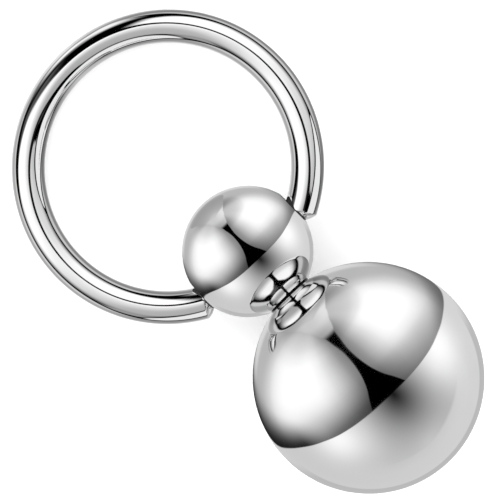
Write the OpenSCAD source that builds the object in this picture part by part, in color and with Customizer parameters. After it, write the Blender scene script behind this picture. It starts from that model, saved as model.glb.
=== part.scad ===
// Captive bead ring with a large drop ball, lying on its side.
// Lengths are millimetres. The ring's far side and the drop ball rest on the plane z = 0,
// +X points from the ring towards the drop ball, and the part is mirror-symmetric in Y.

/* [Wire ring] */
// Thickness of the wire, which is 14 gauge
wire_d = 1.6; // [1.2:0.1:2]
// Clear width inside the ring
ring_inner_d = 12; // [11:0.5:16]
// Radius of the rounded tip at each end of the wire
tip_r = 1.03; // [1.02:0.01:1.1]
// How far the wire lies past the hinge at the middle of its tip, towards the drop ball
tip_lead = 0.06; // [0:0.01:0.06]

/* [Captive bead] */
// Diameter of the bead that closes the ring
bead_d = 6.3; // [6:0.1:7]
// Depth of the dimple on each side, where a wire tip sits
dimple_depth = 0.63; // [0.55:0.01:0.65]
// Gap all round a wire tip in its dimple
dimple_gap = 0.1; // [0.05:0.01:0.12]

/* [Drop ball] */
// Diameter of the ball that hangs from the bead
drop_d = 11; // [9:0.5:13]

/* [Joining post] */
// Width of the flat seat on the bead and on the drop ball, where the two meet
seat_d = 2.4; // [2:0.1:2.8]
// Width of the thin collar between the two seats
collar_d = 2; // [1.6:0.1:2]
// Thickness of the collar, which is the seam that shows
collar_t = 0.05; // [0.03:0.01:0.2]
// Thickness of the post
post_d = 1.2; // [0.8:0.1:1.4]
// Depth that the post reaches into the bead and into the drop ball
post_reach = 1.6; // [1:0.1:2]
// Gap all round the post in its sockets
post_gap = 0.02; // [0.02:0.01:0.05]

/* [Hidden] */
$fn = 96;

wire_r = wire_d / 2;
ring_r = ring_inner_d / 2 + wire_r;
bead_r = bead_d / 2;
drop_r = drop_d / 2;
seat_r = seat_d / 2;

// A dimple and the tip in it are round about one point on the hinge, this far from the axis
dimple_r = tip_r + dimple_gap;
tip_y = bead_r - dimple_depth + dimple_r;
// The cutter that clears the gap is wider than the bent wire, and reaches a little past the axis
cutter_r = 1.5 * wire_d;
cutter_past = wire_r;

// Places along the axis, from the ring's centre towards the drop ball
bead_x = sqrt(pow(ring_r, 2) - pow(tip_y, 2)) - tip_lead;
bead_seat = sqrt(pow(bead_r, 2) - pow(seat_r, 2));
drop_seat = sqrt(pow(drop_r, 2) - pow(seat_r, 2));
seam_x = bead_x + bead_seat;
drop_x = seam_x + collar_t + drop_seat;

// The axis slopes up from the far side of the ring to the middle of the drop ball
pitch = asin((drop_r - wire_r) / (ring_r + drop_x));
ring_lift = wire_r + ring_r * sin(pitch);
near_x = drop_x * cos(pitch) + drop_r;
far_x = -ring_r * cos(pitch) - wire_r;
mid_x = (near_x + far_x) / 2;

// Puts a piece that was drawn along a level axis, with the ring's centre at the origin,
// in the place where it rests
module at_rest() {
    translate([-mid_x, 0, ring_lift]) rotate([0, -pitch, 0]) children();
}

// Everything between the axis and one wire tip, which the tip's round end juts into
module past_wire_tip() {
    translate([bead_x, tip_y, 0]) difference() {
        rotate([90, 0, 0]) cylinder(h = tip_y + cutter_past, r = cutter_r);
        sphere(tip_r);
    }
}

// Round wire bent into a ring that is open where the bead sits, with a rounded tip at each end
module wire_ring() {
    color("silver") at_rest() difference() {
        rotate_extrude() translate([ring_r, 0]) circle(wire_r);
        for (turn = [0, 180]) rotate([turn, 0, 0]) past_wire_tip();
    }
}

// Drilled hole that holds both ends of the post, with a gap all round it
module post_socket() {
    translate([seam_x - post_reach - post_gap, 0, 0]) rotate([0, 90, 0])
        cylinder(h = 2 * (post_reach + post_gap) + collar_t, r = post_d / 2 + post_gap);
}

// Ball with a dimple on each side for the wire tips, and a flat seat towards the drop ball
module captive_bead() {
    color("gainsboro") at_rest() difference() {
        translate([bead_x, 0, 0]) sphere(bead_r);
        for (side = [-1, 1]) translate([bead_x, side * tip_y, 0]) sphere(dimple_r);
        translate([seam_x, -bead_r, -bead_r]) cube([bead_r, bead_d, bead_d]);
        post_socket();
    }
}

// Plain post that holds the two balls together, with a thin collar between their seats
module joining_post() {
    color("darkgray") at_rest() translate([seam_x, 0, 0]) rotate([0, 90, 0]) {
        translate([0, 0, -post_reach]) cylinder(h = 2 * post_reach + collar_t, r = post_d / 2);
        cylinder(h = collar_t, r = collar_d / 2);
    }
}

// Large ball with a flat seat towards the bead
module drop_ball() {
    color("gainsboro") at_rest() difference() {
        translate([drop_x, 0, 0]) sphere(drop_r);
        translate([seam_x + collar_t - drop_r, -drop_r, -drop_r]) cube([drop_r, drop_d, drop_d]);
        post_socket();
    }
}

wire_ring();
captive_bead();
joining_post();
drop_ball();
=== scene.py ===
"""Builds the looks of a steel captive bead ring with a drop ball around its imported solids.

All lengths are metres. Each piece is drawn along a level axis, with the ring's centre at the
origin and the drop ball towards +X, and is then put in the place where the part rests.
"""

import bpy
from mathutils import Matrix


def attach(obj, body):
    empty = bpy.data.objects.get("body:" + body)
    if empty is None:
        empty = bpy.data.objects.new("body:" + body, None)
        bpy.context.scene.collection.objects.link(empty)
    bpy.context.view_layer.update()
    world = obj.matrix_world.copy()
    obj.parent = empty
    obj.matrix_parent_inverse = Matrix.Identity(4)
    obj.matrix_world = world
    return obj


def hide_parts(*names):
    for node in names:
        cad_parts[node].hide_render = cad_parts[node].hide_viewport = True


bl_info = {
    "name": "Captive Bead Ring",
    "version": (1, 0, 0),
    "blender": (4, 5, 0),
    "location": "View3D > Sidebar > Bead Ring",
    "description": "Builds a steel captive bead ring with a drop ball, and a pale studio for it",
    "category": "Add Mesh",
}

import math
from collections import namedtuple

import bmesh
import bpy
from bpy.props import FloatProperty, FloatVectorProperty, IntProperty, PointerProperty
from mathutils import Matrix, Vector

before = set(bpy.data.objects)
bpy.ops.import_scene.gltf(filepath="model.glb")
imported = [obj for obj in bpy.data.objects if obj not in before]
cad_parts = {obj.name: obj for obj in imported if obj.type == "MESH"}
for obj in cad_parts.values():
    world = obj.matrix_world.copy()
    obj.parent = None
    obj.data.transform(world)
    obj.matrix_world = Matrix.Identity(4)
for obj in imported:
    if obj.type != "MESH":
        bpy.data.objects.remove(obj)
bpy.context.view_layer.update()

# The two light tents, each of which only its own pieces mirror
WIRE_TENT = "wire_tent"
BALL_TENT = "ball_tent"
# How near a face lies to a recess that it belongs to
HAIR = 0.000002
# Depth of the hairlines on the steel
HAIRLINE_DEPTH = 0.000002
# Points nearer than this are one point
SLIVER = 0.0000003
# Scales of the haze and the hairline wear on the seats, the dimples and the post
RECESS_GRAIN = (900.0, 4000.0)


# Sizes and finishes that a user would change

def length(name, description, default, low, high):
    """A setting in metres"""
    return FloatProperty(name=name, description=description, default=default, min=low, max=high,
                         unit="LENGTH", precision=6)


def factor(name, description, default):
    """A setting from 0 to 1"""
    return FloatProperty(name=name, description=description, default=default, min=0.0, max=1.0,
                         subtype="FACTOR")


def amount(name, description, default, high):
    """A setting that is a plain number from 0 up"""
    return FloatProperty(name=name, description=description, default=default, min=0.0, max=high)


def turn(name, description, degrees):
    """A setting that is an angle"""
    return FloatProperty(name=name, description=description, default=math.radians(degrees),
                         subtype="ANGLE")


def colour(name, description, default):
    """A setting that is a colour"""
    return FloatVectorProperty(name=name, description=description, default=default,
                               min=0.0, max=1.0, size=3, subtype="COLOR")


def steps(name, description, default, low, high):
    """A setting that counts points or rings of points"""
    return IntProperty(name=name, description=description, default=default, min=low, max=high)


class WireRingSizes(bpy.types.PropertyGroup):
    """Sizes of the wire ring"""

    wire_width: length("Wire Thickness", "Thickness of the round wire", 0.0016, 0.0012, 0.002)
    inner_width: length("Inner Width", "Clear width inside the ring", 0.012, 0.011, 0.016)
    tip_radius: length(
        "Tip Radius", "Radius of the rounded tip at each end of the wire", 0.00103, 0.00102, 0.0011)
    tip_lead: length(
        "Tip Lead", "How far the wire lies past the hinge at the middle of its tip",
        0.00006, 0.0, 0.00006)
    steps_along: steps("Steps Along", "Number of rings of points along the wire", 520, 64, 900)
    steps_round: steps("Steps Round", "Number of points round the wire", 96, 16, 128)


class BallSizes(bpy.types.PropertyGroup):
    """Sizes of the captive bead, the drop ball and the post between them"""

    bead_width: length(
        "Bead Diameter", "Diameter of the bead that closes the ring", 0.0063, 0.006, 0.007)
    drop_width: length(
        "Drop Ball Diameter", "Diameter of the ball that hangs from the bead", 0.011, 0.009, 0.013)
    dimple_depth: length(
        "Dimple Depth", "Depth of the dimple on each side of the bead", 0.00063, 0.00055, 0.00065)
    dimple_gap: length(
        "Dimple Gap", "Gap all round a wire tip in its dimple", 0.0001, 0.00005, 0.00012)
    seat_width: length(
        "Seat Width", "Width of the flat seat on each ball where they meet", 0.0024, 0.002, 0.0028)
    seat_round: length(
        "Seat Rounding", "Radius that breaks the edge of each seat", 0.00004, 0.00002, 0.0001)
    collar_width: length(
        "Collar Width", "Width of the thin collar between the two seats", 0.002, 0.0016, 0.002)
    collar_thickness: length(
        "Collar Thickness", "Thickness of the collar, which is the seam that shows",
        0.00005, 0.00003, 0.0002)
    post_width: length(
        "Post Thickness", "Thickness of the post inside the balls", 0.0012, 0.0008, 0.0014)
    post_reach: length(
        "Post Reach", "Depth that the post reaches into each ball", 0.0016, 0.001, 0.002)
    post_gap: length(
        "Post Gap", "Gap all round the post in its sockets", 0.00002, 0.00002, 0.00005)
    steps_round: steps("Steps Round", "Number of points round each ball", 256, 32, 360)
    steps_along: steps(
        "Steps Along", "Number of rings of points from the far pole to the seat", 150, 16, 240)


class SteelFinish(bpy.types.PropertyGroup):
    """Finish of the polished steel, and the painted shade of its recesses"""

    colour: colour("Steel Colour", "Colour of the clean polished steel", (0.9, 0.9, 0.9))
    haze_colour: colour(
        "Haze Colour", "Colour of the steel where the polish is a little hazy", (0.86, 0.86, 0.865))
    roughness: factor("Roughness", "Roughness of the clean polish", 0.035)
    haze_roughness: factor(
        "Haze Roughness", "Roughness where the polish is a little hazy", 0.075)
    # Painted shade: the seats, the post's socket and the dimples take this near black colour, which
    # stands in for the shade in the seam and round the wire's tips
    painted_recess_shade: colour(
        "Recess Colour", "Colour of the seats and dimples, which no polishing reaches",
        (0.1, 0.1, 0.1))
    recess_roughness: factor("Recess Roughness", "Roughness of the seats and dimples", 0.3)
    recess_wear: factor(
        "Recess Wear", "How much rougher the seats and dimples are in patches", 0.1)


class StudioSettings(bpy.types.PropertyGroup):
    """Camera, floor and light"""

    camera_azimuth: turn(
        "Camera Azimuth", "Direction of the camera round the part, 0 from the front", -113.571)
    camera_elevation: turn("Camera Elevation", "Height of the camera above the horizon", 81.409)
    camera_roll: turn("Camera Roll", "Turn of the camera about its own axis", 159.348)
    camera_target: FloatVectorProperty(
        name="Camera Target", description="Point at the middle of the picture",
        subtype="TRANSLATION", size=3, default=(-0.0003596, 0.0001455, 0.004), precision=6)
    camera_distance: length(
        "Camera Distance", "Distance from the camera to its target", 0.09566, 0.05, 1.0)
    camera_lens: FloatProperty(
        name="Camera Lens", description="Focal length of the lens, in millimetres",
        default=144.14, min=20.0, max=300.0, unit="CAMERA")
    studio_turn: turn("Studio Turn", "Turn of the light boxes about the camera's axis", 46.5)
    floor_colour: colour("Floor Colour", "Colour of the pale floor", (0.9, 0.9, 0.9))
    floor_width: length("Floor Width", "Width of the floor", 1.2, 0.2, 5.0)
    tent_radius: length("Tent Radius", "Radius of the light tents round the part", 5.0, 1.0, 20.0)
    mirrored_reach: length(
        "Mirrored Reach", "Length of wire at each end that the drop ball mirrors",
        0.0032, 0.001, 0.006)
    mirrored_from: length(
        "Mirrored From", "Distance from which the wire's ends are mirrored", 0.0032, 0.0, 0.01)
    backdrop_brightness: amount(
        "Backdrop Brightness", "Brightness of the pale backdrop past the floor", 0.95, 2.0)
    fill_brightness: amount(
        "Fill Brightness", "Brightness of the even light that reaches the floor", 1.9, 3.0)
    key_power: amount(
        "Key Power", "Power of the soft key light over the floor, in watts", 0.06, 10.0)


# Places of the pieces along the part's own axis, and where the part rests

Layout = namedtuple("Layout", "ring_radius tip_y end_angle bead_x seam_x drop_x at_rest tips")


def layout():
    """Works out where the bead, the seam, the drop ball and the wire's tips lie, from the sizes"""
    ring = bpy.context.scene.bead_ring_wire
    balls = bpy.context.scene.bead_ring_balls
    wire_radius = ring.wire_width / 2
    ring_radius = ring.inner_width / 2 + wire_radius
    bead_radius = balls.bead_width / 2
    drop_radius = balls.drop_width / 2
    seat_radius = balls.seat_width / 2
    # A dimple and the tip in it are round about one point on the hinge
    tip_y = bead_radius - balls.dimple_depth + balls.dimple_gap + ring.tip_radius
    bead_x = math.sqrt(ring_radius ** 2 - tip_y ** 2) - ring.tip_lead
    tips = [Vector((bead_x, side * tip_y, 0)) for side in (-1, 1)]
    # Where the wire's centre line comes out of its rounded tip, seen from the ring's centre
    away = math.hypot(bead_x, tip_y)
    square = ring_radius ** 2 + away ** 2 - ring.tip_radius ** 2
    end_angle = math.atan2(tip_y, bead_x) - math.acos(square / (2 * ring_radius * away))
    seam_x = bead_x + math.sqrt(bead_radius ** 2 - seat_radius ** 2)
    drop_seat = math.sqrt(drop_radius ** 2 - seat_radius ** 2)
    drop_x = seam_x + balls.collar_thickness + drop_seat
    pitch = math.asin((drop_radius - wire_radius) / (ring_radius + drop_x))
    lift = wire_radius + ring_radius * math.sin(pitch)
    near_x = drop_x * math.cos(pitch) + drop_radius
    far_x = -ring_radius * math.cos(pitch) - wire_radius
    middle = Matrix.Translation((-(near_x + far_x) / 2, 0, lift))
    at_rest = middle @ Matrix.Rotation(-pitch, 4, "Y")
    return Layout(ring_radius, tip_y, end_angle, bead_x, seam_x, drop_x, at_rest, tips)


# Node trees

class Value:
    """A node's socket, which a formula uses like a number"""

    def __init__(self, wire, socket):
        self.wire = wire
        self.socket = socket

    def __add__(self, other):
        return self.wire.math("ADD", self, other)

    def __sub__(self, other):
        return self.wire.math("SUBTRACT", self, other)

    def __rsub__(self, other):
        return self.wire.math("SUBTRACT", other, self)

    def __mul__(self, other):
        return self.wire.math("MULTIPLY", self, other)

    def __truediv__(self, other):
        return self.wire.math("DIVIDE", self, other)

    def __neg__(self):
        return self.wire.math("MULTIPLY", self, -1.0)

    def __abs__(self):
        return self.wire.math("ABSOLUTE", self)


class Wiring:
    """Adds nodes to a tree and joins them"""

    def __init__(self, tree):
        self.tree = tree

    def node(self, kind, inputs=(), **settings):
        """A new node. inputs maps a socket's name or number to a number or to a Value."""
        made = self.tree.nodes.new(kind)
        for name, value in settings.items():
            setattr(made, name, value)
        for key, value in dict(inputs).items():
            self.feed(made.inputs[key], value)
        return made

    def read(self, kind, output, inputs=(), **settings):
        """One result of a new node, by its name or number"""
        return Value(self, self.node(kind, inputs, **settings).outputs[output])

    def feed(self, socket, value):
        """Joins a socket to a Value, or sets the socket's own value"""
        if isinstance(value, Value):
            self.tree.links.new(value.socket, socket)
        else:
            socket.default_value = value

    def math(self, operation, *values):
        """A math node's result"""
        return self.read("ShaderNodeMath", 0, enumerate(values), operation=operation)

    def vector(self, operation, *values):
        """A vector math node's result, a number for a length, a distance or a dot product"""
        is_number = operation in ("LENGTH", "DISTANCE", "DOT_PRODUCT")
        return self.read("ShaderNodeVectorMath", "Value" if is_number else "Vector",
                         enumerate(values), operation=operation)

    def scaled(self, vector, share):
        """A vector times a number"""
        inputs = {0: vector, "Scale": share}
        return self.read("ShaderNodeVectorMath", "Vector", inputs, operation="SCALE")

    def part(self, axis, vector):
        """The X, Y or Z of a vector"""
        return self.read("ShaderNodeSeparateXYZ", axis, {"Vector": vector})

    def smooth(self, value, start, end):
        """0 before start, 1 after end, and a smooth step between"""
        inputs = {"Value": value, "From Min": start, "From Max": end}
        return self.read("ShaderNodeMapRange", "Result", inputs, interpolation_type="SMOOTHSTEP")

    def blend(self, share, first, second):
        """first where share is 0, second where it is 1"""
        inputs = {"Value": share, "To Min": first, "To Max": second}
        return self.read("ShaderNodeMapRange", "Result", inputs)

    def curve(self, value, points, low, high):
        """A smooth curve through points, all of which lie between the corners low and high"""
        width = high[0] - low[0]
        height = high[1] - low[1]
        made = self.node("ShaderNodeFloatCurve", {"Value": (value - low[0]) / width})
        drawn = made.mapping.curves[0]
        while len(drawn.points) < len(points):
            drawn.points.new(0.5, 0.5)
        for point, (x, y) in zip(drawn.points, points):
            point.location = ((x - low[0]) / width, (y - low[1]) / height)
            point.handle_type = "AUTO_CLAMPED"
        made.mapping.update()
        return Value(self, made.outputs[0]) * height + low[1]


def new_group(name, kind, inputs, outputs):
    """A node group with its named sockets. inputs holds (name, kind of socket, default)."""
    group = bpy.data.node_groups.new(name, kind)
    for label, holds, default in inputs:
        made = group.interface.new_socket(label, in_out="INPUT", socket_type="NodeSocket" + holds)
        if default is not None:
            made.default_value = default
    for label, holds in outputs:
        group.interface.new_socket(label, in_out="OUTPUT", socket_type="NodeSocket" + holds)
    wire = Wiring(group)
    given = {socket.name: Value(wire, socket) for socket in wire.node("NodeGroupInput").outputs}
    return group, wire, given, wire.node("NodeGroupOutput").inputs


def new_material(name):
    """A material, its wiring, its Principled shader and the socket of its surface"""
    material = bpy.data.materials.new(name)
    material.use_nodes = True
    nodes = material.node_tree.nodes
    surface = nodes["Material Output"].inputs["Surface"]
    return material, Wiring(material.node_tree), nodes["Principled BSDF"].inputs, surface


# Steel

def polish_group():
    """Shader group: faint cloudy haze and hairline wear on polished steel"""
    name = "Steel Polish"
    if name in bpy.data.node_groups:
        return bpy.data.node_groups[name]
    group, wire, given, result = new_group(
        name, "ShaderNodeTree",
        [("Haze Scale", "Float", 400.0), ("Hairline Scale", "Float", 2500.0),
         ("Clean Colour", "Color", (0.9, 0.9, 0.9, 1)), ("Haze Colour", "Color", (0.85, 0.85, 0.85, 1)),
         ("Clean Roughness", "Float", 0.03), ("Haze Roughness", "Float", 0.08)],
        [("Colour", "Color"), ("Roughness", "Float"), ("Height", "Float")])
    place = wire.read("ShaderNodeTexCoord", "Object")
    cloud = wire.read("ShaderNodeTexNoise", "Fac", {
        "Vector": place, "Scale": given["Haze Scale"], "Detail": 4.0})
    haze = wire.smooth(cloud, 0.42, 0.75)
    # The hairlines are drawn out along Y
    drawn = wire.vector("MULTIPLY", place, (1.0, 0.06, 1.0))
    hairline = wire.read("ShaderNodeTexNoise", "Fac", {
        "Vector": drawn, "Scale": given["Hairline Scale"], "Detail": 2.0})
    # A mix of two colours has its share in socket 0, the colours in 6 and 7, and its result in 2
    tint = wire.read("ShaderNodeMix", 2, {
        0: haze, 6: given["Clean Colour"], 7: given["Haze Colour"]}, data_type="RGBA")
    wire.feed(result["Colour"], tint)
    wire.feed(result["Roughness"],
              wire.blend(haze, given["Clean Roughness"], given["Haze Roughness"]))
    wire.feed(result["Height"], hairline * haze)
    return group


def steel(name, haze_scale, hairline_scale, recessed=False):
    """A steel with its own scale of haze and hairline wear, dull where it is recessed and painted dark
    there as painted shade
    """
    finish = bpy.context.scene.bead_ring_finish
    clean, hazy = finish.colour, finish.haze_colour
    clean_roughness, haze_roughness = finish.roughness, finish.haze_roughness
    # Recessed steel: its dark colour is painted shade for the seam and the dimples, and its rougher
    # polish is the steel's own
    if recessed:
        clean = hazy = finish.painted_recess_shade
        clean_roughness = finish.recess_roughness
        haze_roughness = clean_roughness + finish.recess_wear
    material, wire, shader, _ = new_material(name)
    polish = wire.node("ShaderNodeGroup", {
        "Haze Scale": haze_scale, "Hairline Scale": hairline_scale,
        "Clean Colour": (*clean, 1), "Haze Colour": (*hazy, 1),
        "Clean Roughness": clean_roughness, "Haze Roughness": haze_roughness,
    }, node_tree=polish_group())
    given = {socket.name: Value(wire, socket) for socket in polish.outputs}
    bump = wire.read("ShaderNodeBump", "Normal", {
        "Strength": 0.02, "Distance": HAIRLINE_DEPTH, "Height": given["Height"]})
    wire.feed(shader["Base Color"], given["Colour"])
    wire.feed(shader["Roughness"], given["Roughness"])
    wire.feed(shader["Normal"], bump)
    wire.feed(shader["Metallic"], 1.0)
    return material


# Meshes and objects

def close_seams(mesh):
    """Clears away the slivers that a cut leaves along its rim, so that the mesh is one closed skin"""
    made = bmesh.new()
    made.from_mesh(mesh)
    bmesh.ops.remove_doubles(made, verts=made.verts, dist=SLIVER)
    bmesh.ops.dissolve_degenerate(made, edges=made.edges, dist=SLIVER)
    if not all(edge.is_manifold for edge in made.edges):
        raise RuntimeError("the cut left an open edge")
    made.to_mesh(mesh)
    made.free()


def paint_recess_shade(mesh, recessed):
    """Gives the dull steel with painted shade to the faces whose middle lies in a recess"""
    name = "painted_shade_steel"
    mesh.materials.append(bpy.data.materials.get(name) or steel(name, *RECESS_GRAIN, recessed=True))
    # Every face found here is painted dark as shade
    found = [face for face in mesh.polygons if recessed(face.center)]
    if not found:
        raise RuntimeError("no face lies in a recess")
    for face in found:
        face.material_index = 1


def new_object(name, data):
    """A new object in the scene"""
    made = bpy.data.objects.new(name, data)
    bpy.context.scene.collection.objects.link(made)
    return made


def baked(thing):
    """The mesh of an object with its modifiers applied"""
    view = bpy.context.evaluated_depsgraph_get()
    return bpy.data.meshes.new_from_object(thing.evaluated_get(view))


def as_mesh(made, name):
    """Turns an edited mesh into a new mesh"""
    mesh = bpy.data.meshes.new(name)
    made.to_mesh(mesh)
    made.free()
    return mesh


def lit_group(name):
    """The collection of the pieces that one light tent lights"""
    return bpy.data.collections.get(name) or bpy.data.collections.new(name)


def link_piece(name, mesh, body, node, lit_by):
    """Puts a finished mesh in the scene as the piece that stands for a node"""
    piece = new_object(name, mesh)
    lit_group(lit_by).objects.link(piece)
    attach(piece, body)
    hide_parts(node)
    return piece


def only_mirrored(thing):
    """Hides a studio object from all but mirrored rays"""
    for kind in ("camera", "diffuse", "transmission", "volume_scatter", "shadow"):
        setattr(thing, "visible_" + kind, False)


def arc(centre, radius, start, end, count):
    """Points of an arc in the outline's plane, as (along, out), from angle start to angle end"""
    angles = [start + (end - start) * i / count for i in range(count + 1)]
    return [(centre[0] + radius * math.cos(t), centre[1] + radius * math.sin(t)) for t in angles]


def turned_solid(name, outline, count, placed):
    """Closed solid turned about the X axis. outline is (along, out), from one pole to the other."""
    made = bmesh.new()
    angles = [math.tau * i / count for i in range(count)]
    rings = []
    for along, out in outline:
        if out < SLIVER:
            rings.append([made.verts.new((along, 0, 0))])
            continue
        rings.append([made.verts.new((along, out * math.cos(t), out * math.sin(t))) for t in angles])
    for first, second in zip(rings, rings[1:]):
        for i in range(count):
            j = (i + 1) % count
            corners = [first[i % len(first)], first[j % len(first)],
                       second[j % len(second)], second[i % len(second)]]
            made.faces.new(list(dict.fromkeys(corners)))
    bmesh.ops.recalc_face_normals(made, faces=made.faces)
    for face in made.faces:
        face.smooth = True
    mesh = as_mesh(made, name)
    mesh.transform(placed)
    return mesh


def ball_outline(radius, balls):
    """Outline of a ball at the origin, from its far pole to the floor of its post socket.

    The flat seat lies towards +X, with its edge broken by a small arc.
    """
    seat_radius = balls.seat_width / 2
    seat = math.sqrt(radius ** 2 - seat_radius ** 2)
    socket_radius = balls.post_width / 2 + balls.post_gap
    socket_floor = seat - balls.post_reach - balls.post_gap
    edge = balls.seat_round
    edge_turn = math.acos((seat - edge) / (radius - edge))
    edge_centre = ((radius - edge) * math.cos(edge_turn), (radius - edge) * math.sin(edge_turn))
    outline = [(-radius, 0.0)]
    outline += arc((0, 0), radius, math.pi, edge_turn, balls.steps_along)[1:]
    outline += arc(edge_centre, edge, edge_turn, 0, 6)[1:]
    # Rings of points close inside the edge keep the flat seat's shading flat
    for share in (0.98, 0.9, 0.75):
        outline.append((seat, edge_centre[1] * share))
    outline += [(seat, socket_radius), (socket_floor, socket_radius), (socket_floor, 0.0)]
    return outline


# Operators

def rounded_tips(wire, given, swept):
    """Draws all that lies past the round tip of either end back onto it, with a soft edge"""
    place = wire.read("GeometryNodeInputPosition", 0)
    x = wire.part("X", place)
    y = wire.part("Y", place)
    centre = wire.read("ShaderNodeCombineXYZ", 0, {
        "X": given["Hinge Place"], "Y": given["Tip Place"] * wire.math("SIGN", y)})
    from_centre = wire.vector("SUBTRACT", place, centre)
    far = wire.vector("LENGTH", from_centre)
    held = wire.math("SMOOTH_MIN", far, given["Tip Radius"], given["Edge Softness"])
    moved = wire.vector("ADD", wire.scaled(from_centre, held / far), centre)
    between_tips = wire.math("LESS_THAN", abs(y), given["Tip Place"])
    return wire.read("GeometryNodeSetPosition", "Geometry", {
        "Geometry": swept, "Selection": wire.math("GREATER_THAN", x, 0.0) * between_tips,
        "Position": moved})


def sweep_tree(inputs):
    """Tree that sweeps a circle along the ring's arc and rounds both ends"""
    tree, wire, given, result = new_group(
        "Wire Ring Sweep", "GeometryNodeTree", inputs, [("Mesh", "Geometry")])
    line = wire.read("GeometryNodeCurvePrimitiveLine", "Curve", {"End": (1.0, 0.0, 0.0)})
    path = wire.read("GeometryNodeResampleCurve", "Curve", {
        "Curve": line, "Count": given["Steps Along"]})
    # The steps crowd towards both ends, where the wire is rounded
    crowding = 0.94
    share = wire.read("GeometryNodeSplineParameter", "Factor")
    crowded = share - wire.math("SINE", share * math.tau) * (crowding / math.tau)
    # The sweep runs past the round tips by a share of the wire's radius, and closes to a
    # point over a share of that way
    overrun = 0.16
    closing = 0.75
    past = given["Wire Radius"] * overrun / given["Ring Radius"]
    start = given["End Angle"] - past
    angle = crowded * (math.tau - start * 2.0) + start
    bent = wire.read("GeometryNodeSetPosition", "Geometry", {
        "Geometry": path, "Position": wire.read("ShaderNodeCombineXYZ", 0, {
            "X": wire.math("COSINE", angle) * given["Ring Radius"],
            "Y": wire.math("SINE", angle) * given["Ring Radius"]})})
    place = wire.read("GeometryNodeInputPosition", 0)
    bent_angle = wire.math("ARCTAN2", abs(wire.part("Y", place)), wire.part("X", place))
    open_share = (bent_angle - start) / (past * closing)
    open_share = wire.math("MINIMUM", wire.math("MAXIMUM", open_share, 0.01), 1.0)
    profile = wire.read("GeometryNodeCurvePrimitiveCircle", "Curve", {
        "Resolution": given["Steps Round"], "Radius": 1.0})
    swept = wire.read("GeometryNodeCurveToMesh", "Mesh", {
        "Curve": bent, "Profile Curve": profile, "Scale": given["Wire Radius"] * open_share,
        "Fill Caps": True})
    shaded = wire.read("GeometryNodeSetShadeSmooth", "Geometry", {
        "Geometry": rounded_tips(wire, given, swept)})
    whole = wire.read("GeometryNodeRealizeInstances", "Geometry", {"Geometry": shaded})
    wire.feed(result["Mesh"], wire.read("GeometryNodeSetMaterial", "Geometry", {
        "Geometry": whole, "Material": given["Steel"]}))
    return tree


class BEADRING_OT_wire_ring(bpy.types.Operator):
    """Makes the wire ring with geometry nodes: a rounded wire swept along an open arc"""

    bl_idname = "bead_ring.wire_ring"
    bl_label = "Wire Ring"

    def execute(self, context):
        sizes = context.scene.bead_ring_wire
        places = layout()
        inputs = (
            ("Ring Radius", "Float", places.ring_radius),
            ("Wire Radius", "Float", sizes.wire_width / 2),
            ("End Angle", "Float", places.end_angle),
            ("Hinge Place", "Float", places.bead_x),
            ("Tip Place", "Float", places.tip_y),
            ("Tip Radius", "Float", sizes.tip_radius),
            ("Edge Softness", "Float", sizes.tip_radius / 20),
            ("Steps Along", "Int", sizes.steps_along),
            ("Steps Round", "Int", sizes.steps_round),
            ("Steel", "Material", steel("wire_steel", 500.0, 2500.0)),
        )
        holder = new_object("ring_sweep", bpy.data.meshes.new("ring_sweep"))
        modifier = holder.modifiers.new("Sweep", "NODES")
        modifier.node_group = sweep_tree(inputs)
        sockets = {item.name: item.identifier for item in modifier.node_group.interface.items_tree
                   if item.item_type == "SOCKET" and item.in_out == "INPUT"}
        for name, _, value in inputs:
            modifier[sockets[name]] = value
        mesh = baked(holder)
        if not mesh.polygons:
            raise RuntimeError("the sweep made no wire")
        bpy.data.objects.remove(holder)
        mesh.transform(places.at_rest)
        mesh.name = "wire"
        ring = link_piece("polished_wire_ring", mesh, "ring", "wire_ring", WIRE_TENT)
        # The balls don't mirror the whole ring, but only its ends: see the studio's operator
        ring.visible_glossy = False
        return {"FINISHED"}


def dimple_cutters(tips, radius):
    """Two round cutters, one about each wire tip, with their poles towards each other"""
    made = bmesh.new()
    for tip in tips:
        turned = Matrix.Translation(tip) @ Matrix.Rotation(math.pi / 2, 4, "X")
        bmesh.ops.create_uvsphere(made, u_segments=128, v_segments=80,
                                  radius=radius, matrix=turned)
    for face in made.faces:
        face.smooth = True
    return as_mesh(made, "dimple_cutters")


class BEADRING_OT_captive_bead(bpy.types.Operator):
    """Makes the bead that closes the ring, with its seat and its two dimples"""

    bl_idname = "bead_ring.captive_bead"
    bl_label = "Captive Bead"

    def execute(self, context):
        balls = context.scene.bead_ring_balls
        places = layout()
        here = Matrix.Translation((places.bead_x, 0, 0))
        outline = ball_outline(balls.bead_width / 2, balls)
        blank = turned_solid("bead_blank", outline, balls.steps_round, here)
        bead = new_object("bead_blank", blank)
        dimple_radius = context.scene.bead_ring_wire.tip_radius + balls.dimple_gap
        cutters = new_object("dimple_cutters", dimple_cutters(places.tips, dimple_radius))
        cut = bead.modifiers.new("Dimples", "BOOLEAN")
        cut.operation = "DIFFERENCE"
        cut.solver = "EXACT"
        cut.object = cutters
        mesh = baked(bead)
        if len(mesh.polygons) <= len(blank.polygons):
            raise RuntimeError("the dimples weren't cut")
        bpy.data.objects.remove(bead)
        bpy.data.objects.remove(cutters)
        close_seams(mesh)
        mesh.name = "bead"
        mesh.set_sharp_from_angle(angle=math.radians(30))
        mesh.materials.clear()
        mesh.materials.append(steel("bead_steel", 420.0, 2200.0))

        def recessed(middle):
            """Whether a face's middle lies on the seat, in the socket or in a dimple"""
            from_tip = min((middle - tip).length for tip in places.tips)
            return middle.x > places.seam_x - HAIR or from_tip < dimple_radius + HAIR

        # Painted shade on the bead's seat, socket and dimples
        paint_recess_shade(mesh, recessed)
        mesh.transform(places.at_rest)
        link_piece("polished_captive_bead", mesh, "drop", "captive_bead", BALL_TENT)
        return {"FINISHED"}


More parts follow.
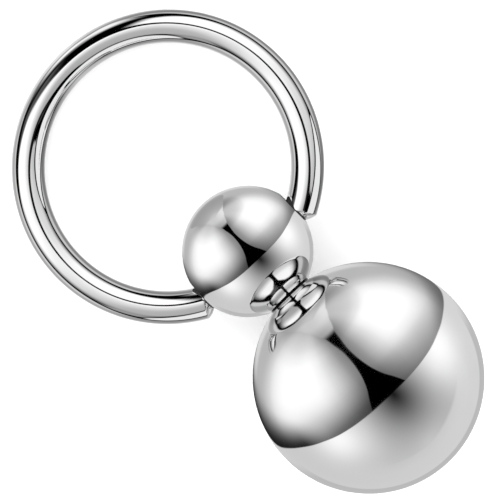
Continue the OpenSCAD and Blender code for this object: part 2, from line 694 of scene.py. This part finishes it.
class BEADRING_OT_drop_ball(bpy.types.Operator):
    """Makes the large ball that hangs from the bead"""

    bl_idname = "bead_ring.drop_ball"
    bl_label = "Drop Ball"

    def execute(self, context):
        balls = context.scene.bead_ring_balls
        places = layout()
        facing = Matrix.Translation((places.drop_x, 0, 0)) @ Matrix.Rotation(math.pi, 4, "Z")
        outline = ball_outline(balls.drop_width / 2, balls)
        mesh = turned_solid("drop", outline, balls.steps_round, facing)
        mesh.materials.append(steel("drop_steel", 260.0, 1600.0))
        seat = places.seam_x + balls.collar_thickness
        # Painted shade on the drop ball's seat and socket
        paint_recess_shade(mesh, lambda middle: middle.x < seat + HAIR)
        mesh.transform(places.at_rest)
        link_piece("polished_drop_ball", mesh, "drop", "drop_ball", BALL_TENT)
        return {"FINISHED"}


class BEADRING_OT_joining_post(bpy.types.Operator):
    """Makes the post that holds the two balls together, with the collar that shows in the seam"""

    bl_idname = "bead_ring.joining_post"
    bl_label = "Joining Post"

    def execute(self, context):
        balls = context.scene.bead_ring_balls
        places = layout()
        collar = balls.collar_thickness
        edge = collar / 2
        rim = arc((edge, balls.collar_width / 2 - edge), edge, math.pi, 0, 10)
        post = balls.post_width / 2
        # The post's ends are rounded by a share of its thickness
        tip = balls.post_width / 8
        start, end = -balls.post_reach, balls.post_reach + collar
        face_middle = (post + rim[0][1]) / 2
        outline = [(start, 0.0)]
        outline += arc((start + tip, post - tip), tip, math.pi, math.pi / 2, 6)
        outline += [(0.0, post), (0.0, face_middle)]
        outline += rim
        outline += [(collar, face_middle), (collar, post)]
        outline += arc((end - tip, post - tip), tip, math.pi / 2, 0, 6)
        outline += [(end, 0.0)]
        here = places.at_rest @ Matrix.Translation((places.seam_x, 0, 0))
        mesh = turned_solid("post", outline, 96, here)
        # Painted shade: the post and its collar, which shows in the seam, take the near black recess
        # colour
        mesh.materials.append(steel("post_steel", *RECESS_GRAIN, recessed=True))
        link_piece("joining_post_with_collar", mesh, "drop", "joining_post", BALL_TENT)
        return {"FINISHED"}


def camera_axes(settings):
    """The camera's right, up and backward directions"""
    azimuth, elevation = settings.camera_azimuth, settings.camera_elevation
    back = Vector((math.sin(azimuth) * math.cos(elevation),
                   -math.cos(azimuth) * math.cos(elevation), math.sin(elevation)))
    level_up = (Vector((0, 0, 1)) - back * back.z).normalized()
    level_right = level_up.cross(back)
    roll = settings.camera_roll
    up = level_up * math.cos(roll) - level_right * math.sin(roll)
    return up.cross(back), up, back


def make_camera(context, settings, axes):
    """A long lens over the part, turned so that the drop ball hangs to the lower right"""
    right, up, back = axes
    lens = bpy.data.cameras.new("camera")
    lens.lens = settings.camera_lens
    lens.sensor_width = 36.0
    lens.clip_start = 0.001
    lens.clip_end = 10.0
    camera = new_object("camera", lens)
    turned = Matrix((right, up, back)).transposed().to_4x4()
    place = Vector(settings.camera_target) + back * settings.camera_distance
    camera.matrix_world = Matrix.Translation(place) @ turned
    context.scene.camera = camera


def make_floor(settings):
    """A wide pale floor under the part, which the steel doesn't mirror"""
    half = settings.floor_width / 2
    mesh = bpy.data.meshes.new("floor")
    corners = [(-half, -half, 0), (half, -half, 0), (half, half, 0), (-half, half, 0)]
    mesh.from_pydata(corners, [], [(0, 1, 2, 3)])
    material, wire, shader, _ = new_material("pale_floor")
    place = wire.read("ShaderNodeTexCoord", "Object")
    grain = wire.read("ShaderNodeTexNoise", "Fac", {"Vector": place, "Scale": 60.0, "Detail": 2.0})
    shade = wire.blend(grain, 0.995, 1.0)
    wire.feed(shader["Base Color"], wire.scaled(tuple(settings.floor_colour), shade))
    wire.feed(shader["Roughness"], 1.0)
    wire.feed(shader["Specular IOR Level"], 0.0)
    mesh.materials.append(material)
    floor = new_object("floor", mesh)
    floor.visible_glossy = False


def make_key_light(settings, axes):
    """One large soft light high over the floor, for a faint shadow"""
    right, up, back = axes
    lamp = bpy.data.lights.new("key_light", "AREA")
    lamp.shape = "DISK"
    lamp.size = 0.12
    lamp.energy = settings.key_power
    light = new_object("key_light", lamp)
    distance = 0.25
    toward = (back * 2.0 + up * 0.8 - right * 0.5).normalized()
    light.matrix_world = (Matrix.Translation(toward * distance)
                          @ toward.to_track_quat("Z", "Y").to_matrix().to_4x4())
    light.visible_glossy = False
    light.visible_camera = False


def make_backdrop(context, settings):
    """The world: a pale backdrop to the eye, and even light on the floor"""
    world = bpy.data.worlds.new("studio")
    world.use_nodes = True
    world.cycles.sampling_method = "NONE"
    context.scene.world = world
    wire = Wiring(world.node_tree)
    brightness = wire.blend(wire.read("ShaderNodeLightPath", "Is Camera Ray"),
                            settings.fill_brightness, settings.backdrop_brightness)
    brightness = wire.blend(wire.read("ShaderNodeLightPath", "Is Glossy Ray"), brightness, 0.0)
    wire.feed(world.node_tree.nodes["Background"].inputs["Color"], brightness)


def make_tent(settings, axes, name, radius):
    """A wide round tent of light boxes and cards, which shows only in its own pieces' polish"""
    right, up, back = axes
    tilt = settings.studio_turn
    upper = up * math.sin(tilt) - right * math.cos(tilt)
    across = right * math.sin(tilt) + up * math.cos(tilt)
    made = bmesh.new()
    bmesh.ops.create_uvsphere(made, u_segments=48, v_segments=24, radius=radius)
    mesh = as_mesh(made, name)
    material, wire, _, surface = new_material(name)
    material.cycles.emission_sampling = "NONE"
    facing = wire.vector("NORMALIZE", wire.read("ShaderNodeTexCoord", "Object"))

    def brightness(group, **values):
        """How bright a group of light boxes is here"""
        inputs = {"Direction": facing, "Up": upper, "Across": across, "Back": back, **values}
        return wire.read("ShaderNodeGroup", "Brightness", inputs, node_tree=group)

    if name == WIRE_TENT:
        seen = brightness(wire_light_group(), Lean=1.0)
    else:
        # What a ball mirrors of another ball is lit much as the wire is
        again = wire.math("GREATER_THAN", wire.read("ShaderNodeLightPath", "Glossy Depth"), 1.5)
        seen = wire.blend(again, brightness(ball_light_group()),
                          brightness(wire_light_group(), Lean=0.0))
    glow = wire.read("ShaderNodeEmission", 0, {"Strength": seen})
    clear = wire.read("ShaderNodeBsdfTransparent", 0)
    wire.feed(surface, wire.read("ShaderNodeAddShader", 0, {0: glow, 1: clear}))
    mesh.materials.append(material)
    tent = new_object(name, mesh)
    only_mirrored(tent)
    tent.light_linking.receiver_collection = lit_group(name)


def make_mirrored_ends(context, settings):
    """Copies of the wire's ends that only the drop ball mirrors"""
    places = layout()
    tips = [places.at_rest @ tip for tip in places.tips]
    made = bmesh.new()
    made.from_mesh(context.scene.objects["polished_wire_ring"].data)
    far = [point for point in made.verts
           if min((point.co - tip).length for tip in tips) > settings.mirrored_reach]
    bmesh.ops.delete(made, geom=far, context="VERTS")
    mesh = as_mesh(made, "mirrored_ends")
    if not mesh.polygons:
        raise RuntimeError("the wire has no ends to mirror")
    material, wire, shader, surface = new_material("mirrored_steel")
    place = wire.read("ShaderNodeTexCoord", "Object")
    from_tip = wire.math("MINIMUM", *[wire.vector("DISTANCE", place, tip) for tip in tips])
    # The copies fade out along the wire, over these shares of their reach
    fade_start, fade_end = 0.35, 0.95
    faded = wire.smooth(from_tip, settings.mirrored_reach * fade_start,
                        settings.mirrored_reach * fade_end)
    # A mirrored ray passes through if it started on the bead, or near by on the wire itself
    length_so_far = wire.read("ShaderNodeLightPath", "Ray Length")
    near = wire.math("LESS_THAN", length_so_far, settings.mirrored_from)
    incoming = wire.read("ShaderNodeNewGeometry", "Incoming")
    start = wire.vector("MULTIPLY_ADD", incoming, length_so_far, place)
    bead_middle = places.at_rest @ Vector((places.bead_x, 0, 0))
    # Rays from the bead start no farther from its middle than this share of its radius
    bead_share = 1.01
    bead_reach = context.scene.bead_ring_balls.bead_width / 2 * bead_share
    from_bead = wire.math("LESS_THAN", wire.vector("DISTANCE", start, bead_middle), bead_reach)
    unseen = wire.math("MAXIMUM", wire.math("MAXIMUM", near, from_bead), faded)
    wire.feed(shader["Metallic"], 1.0)
    wire.feed(shader["Roughness"], 0.05)
    polished = Value(wire, material.node_tree.nodes["Principled BSDF"].outputs[0])
    clear = wire.read("ShaderNodeBsdfTransparent", 0)
    wire.feed(surface, wire.read("ShaderNodeMixShader", 0, {0: unseen, 1: polished, 2: clear}))
    mesh.materials.clear()
    mesh.materials.append(material)
    ends = new_object("mirrored_ends", mesh)
    only_mirrored(ends)
    lit_group(WIRE_TENT).objects.link(ends)


class BEADRING_OT_studio(bpy.types.Operator):
    """Makes the camera, the pale floor and the light boxes that the steel mirrors"""

    bl_idname = "bead_ring.studio"
    bl_label = "Studio"

    def execute(self, context):
        settings = context.scene.bead_ring_studio
        axes = camera_axes(settings)
        make_camera(context, settings, axes)
        make_floor(settings)
        make_key_light(settings, axes)
        make_backdrop(context, settings)
        make_tent(settings, axes, WIRE_TENT, settings.tent_radius)
        # The tent of the balls stands inside that of the wire
        inner_share = 0.9
        make_tent(settings, axes, BALL_TENT, settings.tent_radius * inner_share)
        make_mirrored_ends(context, settings)
        context.scene.view_settings.view_transform = "Standard"
        return {"FINISHED"}


# Light boxes and cards round the part. All places are in degrees: round is counted from the
# camera's side, 0 to 180 both ways, and height from the level of the part to its upper end.

def round_and_height(wire, given):
    """Round and height of a group's direction, and its shares up, across and ahead"""
    upward, aside, ahead = [wire.vector("DOT_PRODUCT", given["Direction"], given[axis])
                            for axis in ("Up", "Across", "Back")]
    height = wire.math("DEGREES", wire.math("ARCSINE", upward))
    round_all = wire.math("DEGREES", wire.math("ARCTAN2", aside, ahead))
    return round_all, height, (upward, aside, ahead)


def light_group(name, *more):
    """A new shader group that takes a direction and the studio's axes, and gives a brightness"""
    vectors = [(label, "Vector", None) for label in ("Direction", "Up", "Across", "Back")]
    return new_group(name, "ShaderNodeTree", [*vectors, *more], [("Brightness", "Float")])


# Balls. Upper edge of the pale card that lies below the part: (round, height)
CARD_EDGE = ((0, -22.5), (30, -21.3), (60, -17.0), (90, -9.6), (120, -3.4), (150, -1.6), (180, -2.0))
# Half the width of the black gap between the two light boxes: (height, half width)
GAP_EDGE = ((-25, 25.0), (-12, 17.0), (0, 10.0), (17, 5.0), (36, 3.5), (45, 4.8), (52, 7.0), (60, 10.0),
    (68, 16.0))
# Upper edge of both light boxes: (round, height)
BOX_TOP = ((8, 60), (15, 65), (22, 69), (32, 73.5), (60, 77.5), (90, 78), (110, 76), (125, 72),
    (140, 64), (150, 55), (160, 40), (180, 20))
# Brightness of a light box across its width: (round, share)
BOX_ACROSS = ((0, 0.2), (9, 0.265), (17.5, 0.42), (32, 0.72), (45, 0.93), (58, 1.0), (82, 1.0),
    (93, 0.97), (107, 0.85), (122, 0.6), (137, 0.455), (152, 0.45), (180, 0.5))
# Brightness of the left and the right light box from its foot to its top: (height, brightness)
LEFT_BOX = ((-22, 0.09), (-15, 0.15), (-10, 0.25), (-5, 0.39), (0, 0.55), (5, 0.71), (10, 0.88),
    (15, 1.01), (20, 1.09), (28, 1.15), (45, 1.15), (55, 1.04), (65, 0.8), (80, 0.53))
RIGHT_BOX = ((-22, 0.195), (-15, 0.305), (-10, 0.375), (-5, 0.47), (0, 0.58), (5, 0.73), (10, 0.93),
    (15, 1.06), (20, 1.14), (28, 1.18), (45, 1.17), (55, 0.89), (65, 0.67), (80, 0.57))
# Brightness of the grey wall behind the part, up to the ceiling: (height, brightness)
BACK_WALL = ((-90, 0.6), (0, 0.6), (20, 0.6), (32, 0.48), (45, 0.38), (60, 0.4), (75, 0.48), (85, 0.62),
    (90, 0.65))


def ball_light_group():
    """Shader group: how bright the tent round the balls is in a direction"""
    group, wire, given, result = light_group("Ball Light Boxes")
    round_all, height, (upward, aside, ahead) = round_and_height(wire, given)
    # The two boxes stand evenly about a line a little to the right of the camera
    middle = 2.6
    turned = wire.math("WRAP", round_all - middle, 180.0, -180.0)
    away = abs(turned)
    is_left = wire.math("LESS_THAN", turned, 0.0)

    def glow(round_place, height_place, width):
        """A soft round glow of a width about a place"""
        lon, lat = math.radians(round_place), math.radians(height_place)
        toward = (upward * math.sin(lat) + aside * (math.cos(lat) * math.sin(lon))
                  + ahead * (math.cos(lat) * math.cos(lon)))
        share = wire.math("DEGREES", wire.math("ARCCOSINE", toward)) / width
        return wire.math("EXPONENT", -(share * share))

    card_edge = wire.curve(away, CARD_EDGE, (0, -90), (180, 90))
    gap_edge = wire.curve(height, GAP_EDGE, (-90, 0), (90, 90))
    box_top = wire.curve(away, BOX_TOP, (0, -90), (180, 90))
    # The left box reaches a little farther round than the right one
    farther = 8.5
    reach = wire.smooth(away, 70.0, 105.0) * is_left
    across_box = wire.curve(away - reach * farther, BOX_ACROSS, (0, 0), (180, 1.5))
    left = wire.curve(height, LEFT_BOX, (-90, 0), (90, 1.5))
    right = wire.curve(height, RIGHT_BOX, (-90, 0), (90, 1.5))
    # Both boxes grow dark behind the part, close above the card, the left one most
    above_card = height - card_edge
    low = 1.0 - wire.smooth(above_card, 0.0, wire.blend(is_left, 13.0, 23.0))
    behind = wire.smooth(away, 70.0, 106.0)
    darker = low * behind * wire.blend(is_left, 0.4, 0.95)
    box = across_box * wire.blend(is_left, right, left) * (1.0 - darker)
    # Past the boxes: a black gap in front, grey behind, and a pale ceiling that fades in
    ceiling = wire.smooth(height, 66.0, 82.0) * 0.25 + wire.smooth(aside, -0.1, 0.3) * 0.28 + 0.41
    front = wire.smooth(height, 60.0, 67.0) * ceiling
    wall = wire.curve(height, BACK_WALL, (-90, 0), (90, 1))
    past = wire.blend(wire.smooth(away, 115.0, 140.0), front, wall)
    in_width = wire.smooth(away - gap_edge, -0.5, 0.5)
    in_height = wire.smooth(box_top - height, -0.6, 0.6)
    upper = wire.blend(in_width * in_height, past, box)
    # The card below, with a dark spot where it faces the black gap and two bright places
    shine = glow(-68, -17, 24.0) * 0.5 + glow(78, -17, 24.5) * 0.5
    base = wire.smooth(ahead, 0.3, -0.4) * 0.09 + aside * 0.05 + 0.6
    to_side = wire.math("DEGREES", wire.math("ARCSINE", aside)) - 6.5
    to_foot = (height + 24.0) * 0.62
    from_spot = wire.math("SQRT", to_side * to_side + to_foot * to_foot)
    lit = wire.math("MAXIMUM", wire.smooth(from_spot, -4.0, 46.0), wire.smooth(ahead, 0.25, -0.1))
    card = (shine + base) * lit
    seen = wire.blend(wire.smooth(-above_card, -0.4, 0.4), upper, card)
    # Straight behind the part lies the ground, pale towards the upper end and grey below
    under = wire.math("DEGREES", wire.math("ARCCOSINE", -ahead))
    level = wire.math("SQRT", wire.math("MAXIMUM", 1.0 - ahead * ahead, 1e-6))
    around = upward / level
    grey = wire.smooth(under, 42.0, 38.0) * wire.smooth(around, -0.2, -0.5)
    pale = wire.smooth(under, 36.0, 25.0) * wire.smooth(around, 0.45, 0.8)
    grey_ground, pale_ground = 0.53, 0.72
    seen = wire.blend(pale, wire.blend(grey, seen, grey_ground), pale_ground)
    wire.feed(result["Brightness"], seen)
    return group


# Wire. Upper edge of the white card below the part: (round, height)
WIRE_CARD_EDGE = ((-180, -26), (-95, -26), (-80, -28), (-65, -33), (-50, -38), (-35, -44), (-20, -48),
    (0, -49), (12, -47), (20, -43), (35, -34.5), (50, -27), (65, -20.5), (80, -16), (180, -16))
# Upper edge of the left and the right light box: (round, height)
WIRE_LEFT_TOP = ((-100, 15), (-85, 27), (-76, 33), (-65, 38), (-50, 46), (-35, 46.5), (-20, 39.5),
    (-10, 29), (-3, 19), (20, 15))
WIRE_RIGHT_TOP = ((-20, 15), (-3, 22), (5, 33), (12, 40), (20, 45), (35, 50.5), (50, 50), (65, 45),
    (75, 36), (85, 25), (100, 15))
# Middle of the black gap between the light boxes, and half its width: (height, round)
WIRE_GAP_MIDDLE = ((-60, 0), (-45, 3), (-40, 6), (-35, 13), (-30, 16), (-20, 13), (0, 12.5), (10, 9),
    (20, 1), (30, -3.5), (60, -4))
WIRE_GAP_WIDTH = ((-60, 20), (-45, 17), (-35, 15), (-30, 12), (-20, 6.5), (0, 5.5), (20, 6), (40, 7),
    (60, 10))
# Brightness of a light box across its width: (round, share)
WIRE_BOX_ACROSS = ((0, 0.97), (50, 1.0), (62, 0.85), (70, 0.58), (76, 0.28), (81, 0.1), (86, 0.0),
    (180, 0.0))
# Brightness of the left and the right light box from its foot to its top: (height, brightness)
WIRE_LEFT_BOX = ((-45, 0.44), (-20, 0.48), (-10, 0.52), (0, 0.7), (10, 0.92), (20, 1.15), (40, 1.2),
    (60, 1.1))
WIRE_RIGHT_BOX = ((-40, 0.5), (-25, 0.58), (-10, 0.75), (0, 0.82), (10, 1.0), (20, 1.15), (40, 1.2),
    (60, 1.1))
# Middle of the dark edge of the screens at both sides: (height, round)
WIRE_LEFT_EDGE = ((-90, -130), (-60, -116), (-40, -107), (-30, -103), (-20, -96), (-10, -90), (0, -88),
    (90, -86))
WIRE_RIGHT_EDGE = ((-90, 140), (-60, 122), (-40, 105), (-30, 95), (-20, 89), (-10, 84), (0, 86),
    (30, 88), (90, 88))
# Brightness of the room behind the screens: (round, brightness)
WIRE_ROOM = ((-180, 0.85), (-160, 0.78), (-145, 0.55), (-130, 0.44), (-115, 0.46), (-104, 0.72),
    (-60, 0.72), (60, 0.65), (104, 0.65), (116, 0.33), (130, 0.26), (145, 0.32), (160, 0.55),
    (180, 0.85))
# Share of the room's brightness from its floor up: (height, share)
WIRE_ROOM_UP = ((-90, 0.1), (-75, 0.25), (-62, 0.65), (-40, 0.68), (-20, 0.85), (0, 1), (90, 1))
# Brightness of the ceiling: (height, brightness)
WIRE_CEILING = ((-90, 0), (64, 0), (70, 0.06), (75, 0.32), (80, 0.7), (85, 1.0), (90, 1.1))


def wire_light_group():
    """Shader group: how bright the tent round the wire is in a direction.

    Lean is 1 for the wire, whose black gap between the light boxes leans, and 0 for a straight gap.
    """
    name = "Wire Light Boxes"
    if name in bpy.data.node_groups:
        return bpy.data.node_groups[name]
    group, wire, given, result = light_group(name, ("Lean", "Float", 1.0))
    round_all, height = round_and_height(wire, given)[:2]
    away = abs(round_all)
    gap_middle = wire.curve(height, WIRE_GAP_MIDDLE, (-90, -30), (90, 30)) * given["Lean"]
    from_middle = round_all - gap_middle
    is_left = wire.math("LESS_THAN", from_middle, 0.0)

    def up_from(points, low, high):
        """A curve over the height, with its result between low and high"""
        return wire.curve(height, points, (-90, low), (90, high))

    def edge_round(points):
        """The height of an edge, from its curve over the whole round"""
        return wire.curve(round_all, points, (-180, -90), (180, 90))

    # Two light boxes
    box_top = wire.blend(is_left, edge_round(WIRE_RIGHT_TOP), edge_round(WIRE_LEFT_TOP))
    box = wire.blend(is_left, up_from(WIRE_RIGHT_BOX, 0, 1.5), up_from(WIRE_LEFT_BOX, 0, 1.5))
    box = box * wire.curve(away, WIRE_BOX_ACROSS, (0, 0), (180, 1))
    in_width = wire.smooth(abs(from_middle) - up_from(WIRE_GAP_WIDTH, 0, 90), -1.5, 1.5)
    in_height = wire.smooth(box_top - height, -4.0, 4.0)
    # The dark line along the card's edge is thinner on the right
    thinner = wire.smooth(round_all, 50.0, 75.0) * 1.5 + 1.0
    above_card = (height - edge_round(WIRE_CARD_EDGE)) * thinner
    inside = in_width * in_height * wire.smooth(above_card, 3.0, 6.0)
    # A ceiling, white over the right, and a dim strip over the left light box
    panel = wire.smooth(round_all, -30.0, 60.0) * wire.smooth(round_all, 160.0, 120.0)
    panel = panel * wire.smooth(height, 60.0, 74.0)
    ceiling = wire.math("MAXIMUM", up_from(WIRE_CEILING, 0, 1.2), panel)
    dim = wire.smooth(height, 63.0, 57.0) * is_left
    dim = dim * wire.smooth(away, 8.0, 20.0) * wire.smooth(away, 66.0, 50.0)
    seen = wire.math("MAXIMUM", box * inside, dim * 0.09 + ceiling)
    # The left light box spills onto its screen, low down
    spill_round, spill_height, spill_brightness = -78.0, -21.0, 0.36
    spill = (wire.smooth(abs(round_all - spill_round), 16.0, 4.0)
             * wire.smooth(abs(height - spill_height), 13.0, 4.0))
    seen = wire.math("MAXIMUM", seen, spill * spill_brightness)
    card = 0.9
    seen = wire.blend(wire.smooth(above_card, -3.0, -6.5), seen, card)
    # Behind the dark edges of the screens lies the grey room
    past_edge = wire.math("MAXIMUM", up_from(WIRE_LEFT_EDGE, -180, 0) - round_all,
                          round_all - up_from(WIRE_RIGHT_EDGE, 0, 180))
    # Degrees round count for less near the foot and the top
    past_edge = past_edge * wire.math("COSINE", wire.math("RADIANS", height))
    room = wire.curve(round_all, WIRE_ROOM, (-180, 0), (180, 1)) * up_from(WIRE_ROOM_UP, 0, 1)
    room = room * wire.smooth(height, 82.0, 62.0)
    near = seen * wire.smooth(past_edge, -2.0, -5.0)
    far = wire.math("MAXIMUM", room, ceiling) * wire.smooth(past_edge, 2.0, 9.0)
    top = wire.smooth(height, 60.0, 70.0)
    wire.feed(result["Brightness"], wire.blend(top, near + far, wire.math("MAXIMUM", ceiling, far)))
    return group


class BEADRING_PT_panel(bpy.types.Panel):
    """Lists the operators and their settings"""

    bl_label = "Bead Ring"
    bl_idname = "BEADRING_PT_panel"
    bl_space_type = "VIEW_3D"
    bl_region_type = "UI"
    bl_category = "Bead Ring"

    def draw(self, context):
        for title, holder, names in PANEL_ROWS:
            box = self.layout.box()
            box.label(text=title)
            group = getattr(context.scene, holder)
            for name in group.__annotations__:
                box.prop(group, name)
            for name in names:
                box.operator(name)


PANEL_ROWS = (
    ("Wire Ring", "bead_ring_wire", ("bead_ring.wire_ring",)),
    ("Balls and Post", "bead_ring_balls",
     ("bead_ring.captive_bead", "bead_ring.joining_post", "bead_ring.drop_ball")),
    ("Steel", "bead_ring_finish", ()),
    ("Studio", "bead_ring_studio", ("bead_ring.studio",)),
)

SETTINGS = {
    "bead_ring_wire": WireRingSizes,
    "bead_ring_balls": BallSizes,
    "bead_ring_finish": SteelFinish,
    "bead_ring_studio": StudioSettings,
}

CLASSES = (
    *SETTINGS.values(),
    BEADRING_OT_wire_ring,
    BEADRING_OT_captive_bead,
    BEADRING_OT_joining_post,
    BEADRING_OT_drop_ball,
    BEADRING_OT_studio,
    BEADRING_PT_panel,
)


def register():
    """Makes the classes known and hangs the settings on the scene"""
    for made in CLASSES:
        bpy.utils.register_class(made)
    for name, group in SETTINGS.items():
        setattr(bpy.types.Scene, name, PointerProperty(type=group))


def unregister():
    """Takes the settings and the classes away again"""
    for name in SETTINGS:
        delattr(bpy.types.Scene, name)
    for made in reversed(CLASSES):
        bpy.utils.unregister_class(made)


def main():
    """Makes every piece and the studio"""
    register()
    bpy.ops.bead_ring.wire_ring()
    bpy.ops.bead_ring.captive_bead()
    bpy.ops.bead_ring.joining_post()
    bpy.ops.bead_ring.drop_ball()
    bpy.ops.bead_ring.studio()


if __name__ == "__main__":
    main()
